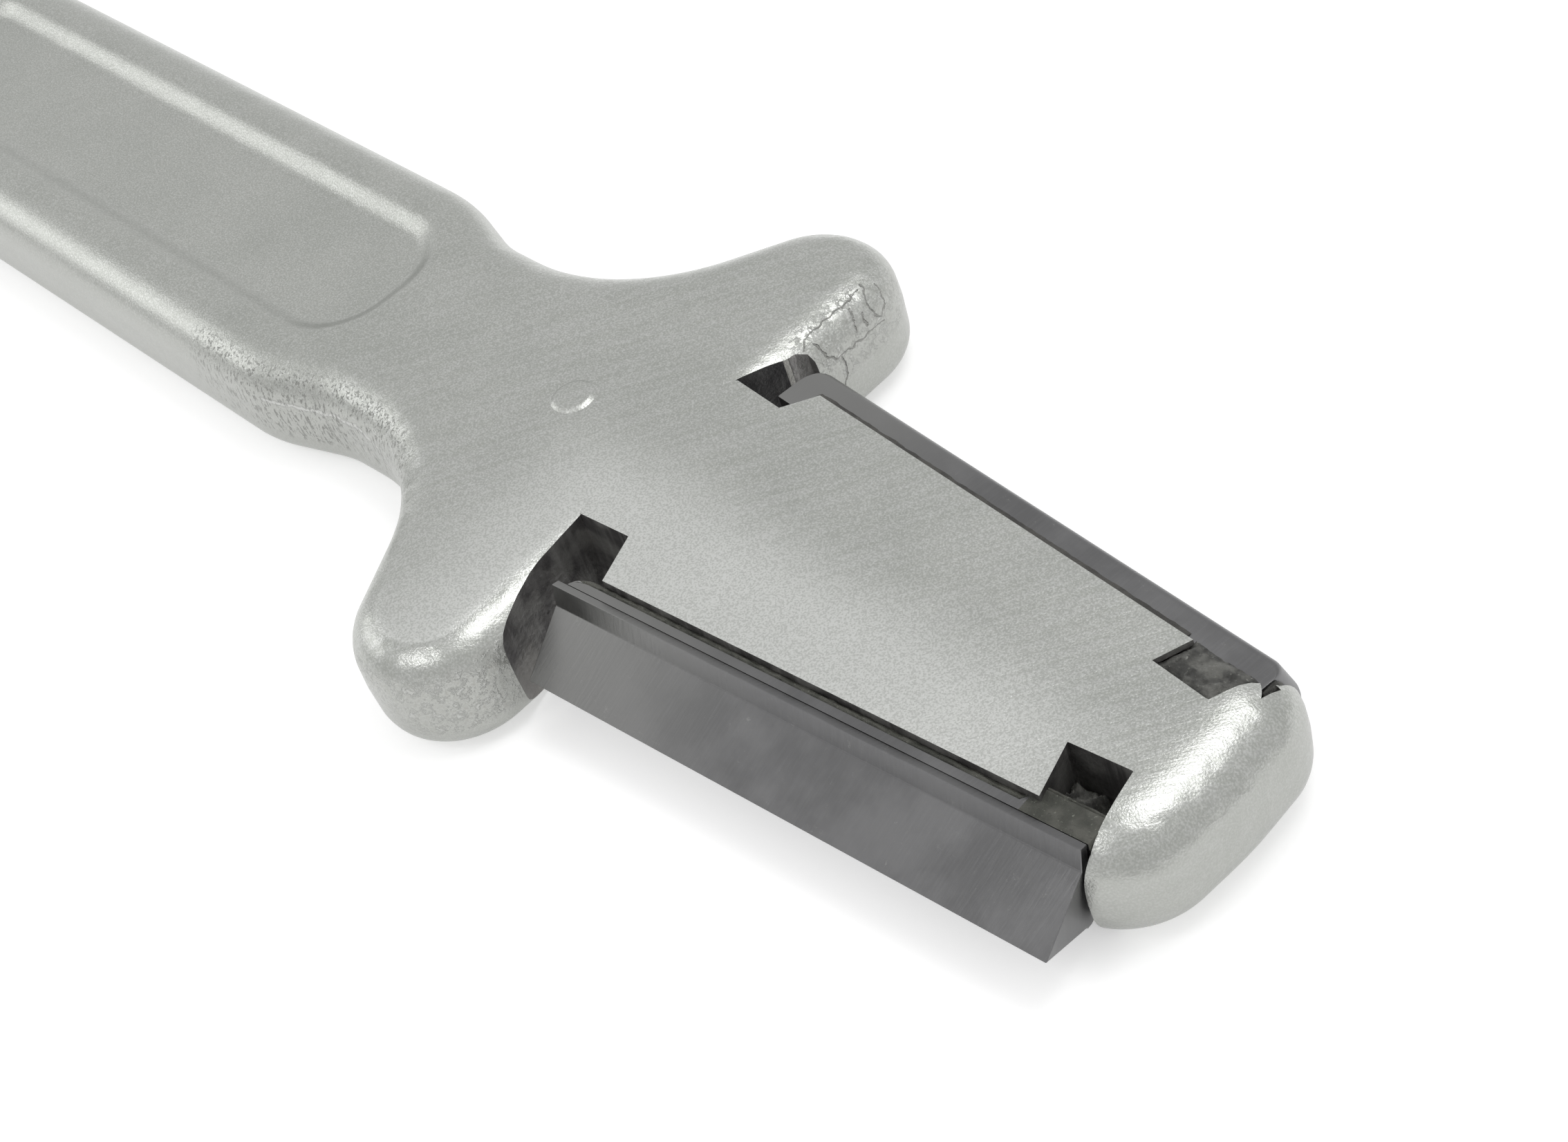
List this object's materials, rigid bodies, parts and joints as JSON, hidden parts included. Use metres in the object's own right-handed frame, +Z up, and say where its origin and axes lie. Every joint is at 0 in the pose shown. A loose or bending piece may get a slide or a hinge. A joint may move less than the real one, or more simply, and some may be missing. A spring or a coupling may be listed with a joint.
{
  "type": "cabinet scraper",
  "caption": "Carbide burnisher for dressing cabinet scrapers: flat cast handle, finger guard and tapered head with a triangular and a drop-nosed bar glued into its sides.",
  "frame": {"origin": "centre of the bounding box in plan, on the plane that the tool lies on", "axes": "+X along the tool towards the tip of the head, +Y towards the drop-nosed bar, +Z up from the lower face to the upper face with the dimple"},
  "size_m": [0.1848, 0.0552, 0.01],
  "materials": {
    "cast_aluminium": "bead-blasted casting, brushed on the head plate",
    "carbide": "ground, dark grey, satin",
    "adhesive": "cured, grey-brown, dull"
  },
  "bodies": {
    "root": {"cast_body": "cast_aluminium", "triangular_bar": "carbide", "drop_bar": "carbide", "triangular_bar_adhesive": "adhesive", "drop_bar_adhesive": "adhesive"}
  },
  "joints": []
}
